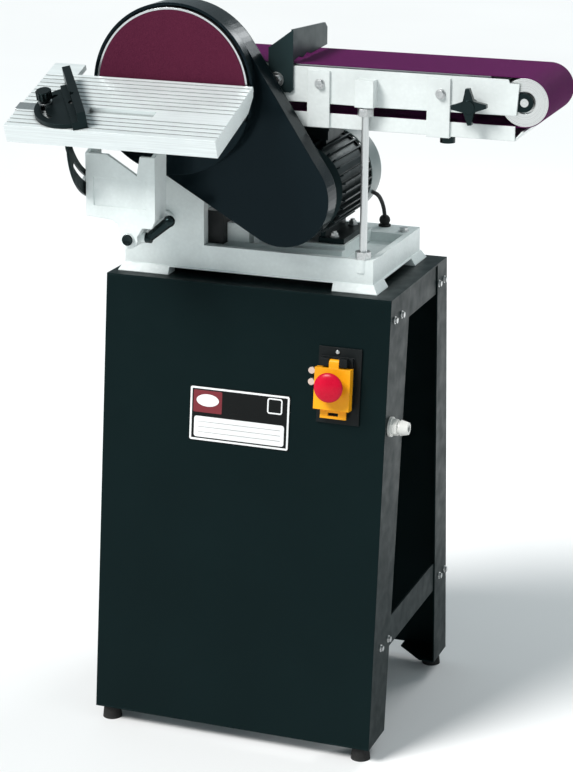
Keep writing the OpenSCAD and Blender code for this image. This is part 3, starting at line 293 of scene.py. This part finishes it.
def turned(name, color, rough, centre, ring=1400.0, metal=1.0):
    """Lathe-turned metal: fine rings round an axis along Y."""
    paint = Paint(name, color, rough, metal=metal)
    normal, edge = paint.edges(MACHINED_EDGE)
    rings = paint.rings(centre, ring)
    groove = paint.spread(rings, 0.3, 0.7)
    body = paint.mix(groove, shade(color, 0.8), shade(color, 1.08))
    stain = paint.spread(paint.noise(28.0, 5.0), 0.5, 0.8, 0.0, 0.25)
    body = paint.mix(stain, body, shade(color, 0.7))
    # lighter along every edge: a painted highlight
    body = paint.mix(paint.times(edge, 0.5), body, shade(color, 1.12))
    gloss = paint.spread(groove, 0.0, 1.0, rough * 0.75, rough * 1.35)
    return paint.finish(body, gloss, rings, 0.00006, 0.6, normal)


def gritty(name, color, dark, light):
    """Coated abrasive: closely packed grains on cloth, with clogged patches."""
    paint = Paint(name, color, 0.8, specular=0.08)
    grains = paint.cells(1500.0)
    grain = paint.spread(grains.outputs["Distance"], 0.05, 0.65)
    body = paint.mix(grain, light, dark)
    sparkle = paint.spread(paint.noise(2600.0, 1.0), 0.63, 0.72, 0.0, 0.4)
    body = paint.mix(sparkle, body, shade(light, 2.2))
    worn = paint.spread(paint.noise(9.0, 5.0), 0.42, 0.72, 0.0, 0.4)
    body = paint.mix(worn, body, color)
    gloss = paint.spread(grain, 0.0, 1.0, 0.55, 0.95)
    return paint.finish(body, gloss, grains.outputs["Distance"], 0.00035, 0.7)


# ---------------------------------------------------------------- materials

TEAL = (0.55, 0.95, 1.0)
spindle_axis = box_centre("disc_plate")
idler_axis = box_centre("idler_roller")
motor_axis = box_centre("motor_shaft")

stand_paint = painted("stand_enamel", (0.0022, 0.0062, 0.0066), 0.42, specular=0.13, tint=TEAL, wear=0.3,
                      wear_color=(0.02, 0.04, 0.042))
casting = hammered("casting_enamel", (0.80, 0.86, 0.85), 0.4)
arm_white = hammered("arm_enamel", (0.72, 0.76, 0.75), 0.4)
motor_black = painted("motor_enamel", (0.004, 0.006, 0.0065), 0.34, peel=420.0, peel_depth=0.00025,
                      wear=0.5, specular=0.2, tint=TEAL, wear_color=(0.05, 0.07, 0.072))
cover_gloss = painted("cover_enamel", (0.0022, 0.0045, 0.0058), 0.2, specular=0.17,
                      tint=(0.55, 0.85, 1.0), wear=0.25, wear_color=(0.03, 0.045, 0.06))
knob_black = moulded("knob_phenolic", (0.004, 0.005, 0.005), 0.24, specular=0.3, tint=TEAL)
box_black = moulded("switch_housing", (0.005, 0.007, 0.0075), 0.42, specular=0.2)
cowl_grey = painted("cowl_enamel", (0.16, 0.20, 0.20), 0.4, wear=0.4)
turned_disc = turned("turned_disc", (0.80, 0.82, 0.83), 0.28, spindle_axis)
turned_idler = turned("turned_idler", (0.80, 0.81, 0.80), 0.3, idler_axis, 1100.0)
turned_motor = turned("turned_shaft", (0.6, 0.61, 0.62), 0.28, motor_axis)
turned_spindle = turned("turned_spindle", (0.6, 0.61, 0.62), 0.28, spindle_axis)
zinc = plated("zinc_plate", (0.66, 0.67, 0.67), 0.3)
post_zinc = brushed("drawn_bar", (0.72, 0.74, 0.74), 0.34, (900.0, 900.0, 12.0))
platen_steel = brushed("ground_platen", (0.55, 0.56, 0.57), 0.35, (10.0, 700.0, 700.0))
table_metal = brushed("milled_table", (0.82, 0.87, 0.87), 0.42, (9.0, 850.0, 850.0), metal=0.35,
                      recess=0.006)
stop_black = painted("stop_enamel", (0.012, 0.020, 0.021), 0.34, specular=0.35, tint=TEAL, wear=0.6,
                     wear_color=(0.12, 0.15, 0.155))
belt_grit = gritty("belt_grit", (0.100, 0.006, 0.075), (0.055, 0.003, 0.045), (0.140, 0.010, 0.105))
disc_grit = gritty("disc_grit", (0.100, 0.014, 0.038), (0.060, 0.008, 0.025), (0.135, 0.022, 0.052))
rubber = rubbery("rubber", (0.010, 0.010, 0.010), 0.75)
cable_rubber = rubbery("cable_sheath", (0.014, 0.014, 0.015), 0.55)
yellow = moulded("yellow_flap", (0.90, 0.37, 0.006), 0.36, specular=0.25)
red = moulded("red_button", (0.56, 0.001, 0.026), 0.3, specular=0.2)
green = moulded("green_button", (0.04, 0.30, 0.10), 0.35)
pale = moulded("pale_gland", (0.66, 0.66, 0.63), 0.45)
lamp_lens = moulded("lamp_lens", (0.62, 0.50, 0.44), 0.2, coat=0.4)
print_black = painted("plate_black", (0.005, 0.006, 0.006), 0.3, specular=0.15)
print_grey = painted("plate_grey", (0.42, 0.42, 0.42), 0.35)
print_white = painted("plate_white", (0.86, 0.87, 0.87), 0.35)
print_maroon = painted("plate_maroon", (0.17, 0.012, 0.020), 0.35)
copper = brushed("copper_winding", (0.70, 0.30, 0.16), 0.35, (20.0, 500.0, 20.0))
floor_pale = Paint("studio_floor", (0.86, 0.86, 0.86), 0.8, specular=0.1)
floor_tone = floor_pale.spread(floor_pale.noise(0.7, 2.0), 0.3, 0.7)
floor_material = floor_pale.finish(floor_pale.mix(floor_tone, (0.85, 0.85, 0.85), (0.88, 0.88, 0.88)))

FINISHES = {
    stand_paint: ("stand_front", "stand_rear", "stand_top", "side_rails"),
    rubber: ("rubber_feet", "cable_grommet", "v_belt"),
    cable_rubber: ("motor_cable",),
    zinc: ("stand_bolts", "mounting_bolts", "bracket_bolts", "mitre_bar", "mitre_washer", "arm_bolts",
           "post_nuts", "ball_bearings"),
    print_black: ("name_plate",),
    box_black: ("switch_box", "dust_chute"),
    yellow: ("switch_flap",),
    red: ("stop_button",),
    green: ("start_button",),
    lamp_lens: ("indicator_lamps",),
    pale: ("cable_gland",),
    casting: ("base_casting", "table_bracket"),
    arm_white: ("arm_frame", "lower_guard", "guard_straps"),
    motor_black: ("motor_body", "motor_end_shields", "terminal_box", "cover_back", "tension_yoke",
                  "mitre_head", "tilt_quadrant"),
    copper: ("motor_stator",),
    cowl_grey: ("fan_cowl",),
    knob_black: ("motor_fan", "star_knob", "thumb_screw", "lock_lever", "mitre_knob"),
    turned_motor: ("motor_shaft", "motor_pulley"),
    turned_spindle: ("spindle_shaft", "spindle_pulley", "drive_drum"),
    cover_gloss: ("belt_cover", "disc_guard"),
    turned_disc: ("disc_plate",),
    disc_grit: ("abrasive_disc",),
    belt_grit: ("abrasive_belt",),
    table_metal: ("table",),
    platen_steel: ("platen",),
    post_zinc: ("table_rod", "support_post"),
    turned_idler: ("idler_roller", "idler_axle"),
    stop_black: ("work_stop",),
}


def set_material(obj, material):
    if not obj.material_slots:
        obj.data.materials.append(material)
    for slot in obj.material_slots:
        slot.material = material


for material, names in FINISHES.items():
    for name in names:
        set_material(nodes[name], material)


# ---------------------------------------------------------------- printed front of the name plate

FRONT_LEAN = math.atan2(0.069, 0.684)   # the front panel's run over its rise
PLATE_W, PLATE_H = 0.160, 0.084
PLATE_FACE = 0.0005     # from the plate's middle to its front face
INK = 0.00025           # thickness of one printed layer
PLATE_MARGIN = 0.001    # bare plate outside the border
BORDER_W = 0.003
MARK_LINE_W = 0.0022
RULE_H = 0.0008
RULE_HEIGHTS = (-0.012, -0.020, -0.028)


def plate_frame():
    """The plate's own frame: X along it, Y into it and Z up its slope, with the origin on its face."""
    lean = Matrix.Rotation(-FRONT_LEAN, 4, "X")
    return Matrix.Translation(box_centre("name_plate")) @ lean @ Matrix.Translation((0, -PLATE_FACE, 0))


def new_piece(name, mesh_builder, material, body):
    bm = bmesh.new()
    mesh_builder(bm)
    bmesh.ops.recalc_face_normals(bm, faces=bm.faces)
    mesh = bpy.data.meshes.new(name)
    bm.to_mesh(mesh)
    bm.free()
    mesh.materials.append(material)
    piece = bpy.data.objects.new(name, mesh)
    bpy.context.scene.collection.objects.link(piece)
    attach(piece, body)
    return piece


def rounded_rectangle(x0, x1, z0, z1, radius, steps=6):
    points = []
    corners = ((x1 - radius, z1 - radius, 0), (x0 + radius, z1 - radius, 90),
               (x0 + radius, z0 + radius, 180), (x1 - radius, z0 + radius, 270))
    for cx, cz, start in corners:
        for i in range(steps + 1):
            angle = math.radians(start + 90 * i / steps)
            points.append((cx + radius * math.cos(angle), cz + radius * math.sin(angle)))
    return points


def ellipse(cx, cz, rx, rz, steps=48):
    return [(cx + rx * math.cos(i * math.tau / steps), cz + rz * math.sin(i * math.tau / steps))
            for i in range(steps)]


def printed(outline, level, hole=None):
    """Builds an inked patch on the plate, level layers up, with an optional hole of as many points."""
    def build(bm):
        place = plate_frame()
        back, front = -INK * level, -INK * (level + 1)
        loops = [[bm.verts.new(place @ Vector((x, y, z))) for x, z in points]
                 for points in ([outline] if hole is None else [outline, hole]) for y in (back, front)]
        count = len(outline)
        for first in range(0, len(loops), 2):
            for i in range(count):
                j = (i + 1) % count
                bm.faces.new((loops[first][i], loops[first][j], loops[first + 1][j], loops[first + 1][i]))
        if hole is None:
            bm.faces.new(loops[0])
            bm.faces.new(loops[1])
        else:
            for side in (0, 1):
                for i in range(count):
                    j = (i + 1) % count
                    bm.faces.new((loops[side][i], loops[side][j], loops[side + 2][j], loops[side + 2][i]))
    return build


def inset_pair(x0, x1, z0, z1, radius, width):
    return (rounded_rectangle(x0, x1, z0, z1, radius),
            rounded_rectangle(x0 + width, x1 - width, z0 + width, z1 - width, max(radius - width, 0.0004)))


def print_on_plate(name, mesh_builder, ink):
    new_piece(name, mesh_builder, ink, "stand")


half_w, half_h = PLATE_W / 2, PLATE_H / 2
border_outer, border_inner = inset_pair(-half_w + PLATE_MARGIN, half_w - PLATE_MARGIN,
                                        -half_h + PLATE_MARGIN, half_h - PLATE_MARGIN, 0.003, BORDER_W)
mark_outer, mark_inner = inset_pair(0.044, 0.068, 0.012, 0.036, 0.004, MARK_LINE_W)
patch = rounded_rectangle(-0.074, -0.028, 0.002, 0.036, 0.002)
panel = rounded_rectangle(-0.072, 0.072, -0.036, -0.004, 0.004)
print_on_plate("plate_border", printed(border_outer, 0, border_inner), print_white)
print_on_plate("plate_patch", printed(patch, 0), print_maroon)
print_on_plate("plate_oval", printed(ellipse(-0.051, 0.021, 0.018, 0.0095), 1), print_white)
print_on_plate("plate_mark", printed(mark_outer, 0, mark_inner), print_white)
print_on_plate("plate_panel", printed(panel, 0), print_white)
for number, rule_z in enumerate(RULE_HEIGHTS):
    rule = rounded_rectangle(-0.066, 0.066, rule_z - RULE_H / 2, rule_z + RULE_H / 2, 0.0003)
    print_on_plate(f"plate_rule_{number}", printed(rule, 1), print_grey)


# ---------------------------------------------------------------- turned pieces with soft edges


def lathe(profile, place, steps=64):
    """Builds a surface of revolution round place's Z axis: profile is (radius, height), bottom to top."""
    turns = [i * math.tau / steps for i in range(steps)]

    def build(bm):
        rings = []
        for radius, height in profile:
            around = turns if radius else (0,)
            rings.append([bm.verts.new(place @ Vector((radius * math.cos(turn), radius * math.sin(turn),
                                                       height))) for turn in around])
        for low, high in zip(rings, rings[1:]):
            for i in range(steps):
                j = (i + 1) % steps
                if len(low) == 1:
                    bm.faces.new((low[0], high[j], high[i]))
                elif len(high) == 1:
                    bm.faces.new((low[i], low[j], high[0]))
                else:
                    bm.faces.new((low[i], low[j], high[j], high[i]))
        for face in bm.faces:
            face.smooth = True
    return build


def arc(cx, cz, radius, start, end, steps=8):
    """Points of an arc in a profile, from start to end in degrees."""
    angles = [math.radians(start + (end - start) * i / steps) for i in range(steps + 1)]
    return [(cx + radius * math.cos(angle), cz + radius * math.sin(angle)) for angle in angles]


# The stop button's mushroom: a stem, an undercut head with a rounded rim, and a shallow dome
STOP_STEM_R, STOP_HEAD_R = 0.0115, 0.022
STOP_TOP = 0.028        # from the stem's foot to the crown of the head
STOP_RIM_R, STOP_RIM_Z = 0.0030, 0.0212
STOP_DOME = 0.0042      # the crown's height above the rim


PANEL_OUT = Vector((0, -math.cos(FRONT_LEAN), math.sin(FRONT_LEAN)))


def facing_panel(place):
    """A frame at place with Z straight out of the leaning front panel."""
    turn = Matrix.Rotation(-FRONT_LEAN, 4, "X") @ Matrix.Rotation(math.pi / 2, 4, "X")
    return Matrix.Translation(place) @ turn


stop_profile = [(0, 0), (STOP_STEM_R, 0), (STOP_STEM_R, 0.0145), (0.0135, 0.0160), (0.0185, 0.0178)]
stop_profile += arc(STOP_HEAD_R - STOP_RIM_R, STOP_RIM_Z, STOP_RIM_R, -70, 60)
stop_profile += [(STOP_HEAD_R * share, STOP_TOP - STOP_DOME * share ** 2)
                 for share in (0.88, 0.7, 0.5, 0.25)]
stop_profile.append((0, STOP_TOP))
stop_foot = box_centre("stop_button") - PANEL_OUT * STOP_TOP / 2
stop_head = new_piece("stop_mushroom", lathe(stop_profile, facing_panel(stop_foot)), red,
                      "stop_push")
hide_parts("stop_button")


# Black plug in the front end of the table's rod, with a rounded rim and a shallow dish
ROD_PLUG_R, ROD_PLUG_RIM_R = 0.0083, 0.0008


def facing_front(node):
    """A frame on the middle of a node's front end, with Z out of it towards -Y."""
    low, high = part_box(node)
    place = Vector(((low.x + high.x) / 2, low.y, (low.z + high.z) / 2))
    return Matrix.Translation(place) @ Matrix.Rotation(math.pi / 2, 4, "X")


plug_profile = [(ROD_PLUG_R - 0.0004, -0.0002), (ROD_PLUG_R, 0.0006)]
plug_profile += arc(ROD_PLUG_R - ROD_PLUG_RIM_R, 0.0014, ROD_PLUG_RIM_R, 0, 90)
plug_profile += [(0.0060, 0.0021), (0.0052, 0.0014), (0, 0.0012)]
new_piece("rod_plug", lathe(plug_profile, facing_front("table_rod")), knob_black, "stand")

# Pan-head screw at the top of the switch plate
SCREW_R, SCREW_RIM_R = 0.0032, 0.0012
SCREW_SEAT = 0.003      # the switch plate's front, out from the panel
_, box_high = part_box("switch_box")
flap_low, flap_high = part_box("switch_flap")
screw_z = (box_high.z + flap_high.z) / 2
screw_y = box_high.y - (box_high.z - screw_z) * math.tan(FRONT_LEAN)
screw_place = Vector(((flap_low.x + flap_high.x) / 2, screw_y, screw_z))
screw_profile = [(SCREW_R, -0.0006), (SCREW_R, 0.0008)]
screw_profile += arc(SCREW_R - SCREW_RIM_R, 0.0008, SCREW_RIM_R, 0, 90) + [(0, 0.0021)]
new_piece("switch_screw", lathe(screw_profile, facing_panel(screw_place + SCREW_SEAT * PANEL_OUT)), zinc,
          "stand")


# ---------------------------------------------------------------- studio

FLOOR_HALF = 30.0
floor_mesh = bpy.data.meshes.new("studio_floor")
floor_corners = [(x * FLOOR_HALF, y * FLOOR_HALF, 0) for x, y in ((-1, -1), (1, -1), (1, 1), (-1, 1))]
floor_mesh.from_pydata(floor_corners, [], [(0, 1, 2, 3)])
floor_mesh.materials.append(floor_material)
floor = bpy.data.objects.new("studio_floor", floor_mesh)
bpy.context.scene.collection.objects.link(floor)

world = bpy.data.worlds.new("studio")
world.use_nodes = True
sky = world.node_tree.nodes["Background"].inputs
sky["Color"].default_value = (0.80, 0.95, 1.0, 1.0)
sky["Strength"].default_value = 0.38
bpy.context.scene.world = world
bpy.context.scene.view_settings.view_transform = "Standard"


def add_light(kind, name, energy, place, aim, **settings):
    data = bpy.data.lights.new(name, kind)
    data.energy = energy
    for key, value in settings.items():
        setattr(data, key, value)
    light = bpy.data.objects.new(name, data)
    light.location = place
    light.rotation_mode = "QUATERNION"
    light.rotation_quaternion = (Vector(aim) - Vector(place)).to_track_quat("-Z", "Y")
    bpy.context.scene.collection.objects.link(light)


middle = (Vector(cad_box[0]) + Vector(cad_box[1])) / 2
add_light("SUN", "key", 3.5, (-2.2, -3.0, 4.4), (0, 0, 0.5), angle=math.radians(22),
          color=(1.0, 0.985, 0.97))
add_light("AREA", "fill", 6, (3.2, -1.2, 2.2), tuple(middle), shape="RECTANGLE", size=2.0, size_y=2.0)
add_light("AREA", "rim", 45, (1.2, 2.8, 2.6), (0.1, 0.1, 0.9), shape="RECTANGLE", size=1.6, size_y=1.2)

# Camera: place, direction and roll of the view
CAMERA_PLACE = Vector((1.08105, -3.05501, 1.5464))
CAMERA_YAW, CAMERA_PITCH, CAMERA_ROLL = math.radians(20.0), math.radians(17.3), math.radians(0.4)
camera_data = bpy.data.cameras.new("camera")
camera_data.lens = 104.1
camera = bpy.data.objects.new("camera", camera_data)
forward = Vector((-math.sin(CAMERA_YAW) * math.cos(CAMERA_PITCH),
                  math.cos(CAMERA_YAW) * math.cos(CAMERA_PITCH), -math.sin(CAMERA_PITCH)))
side = Vector((math.cos(CAMERA_YAW), math.sin(CAMERA_YAW), 0))
upward = side.cross(forward)
right = math.cos(CAMERA_ROLL) * side + math.sin(CAMERA_ROLL) * upward
up = math.cos(CAMERA_ROLL) * upward - math.sin(CAMERA_ROLL) * side
camera.matrix_world = Matrix.Translation(CAMERA_PLACE) @ Matrix((right, up, -forward)).transposed().to_4x4()
bpy.context.scene.collection.objects.link(camera)
bpy.context.scene.camera = camera
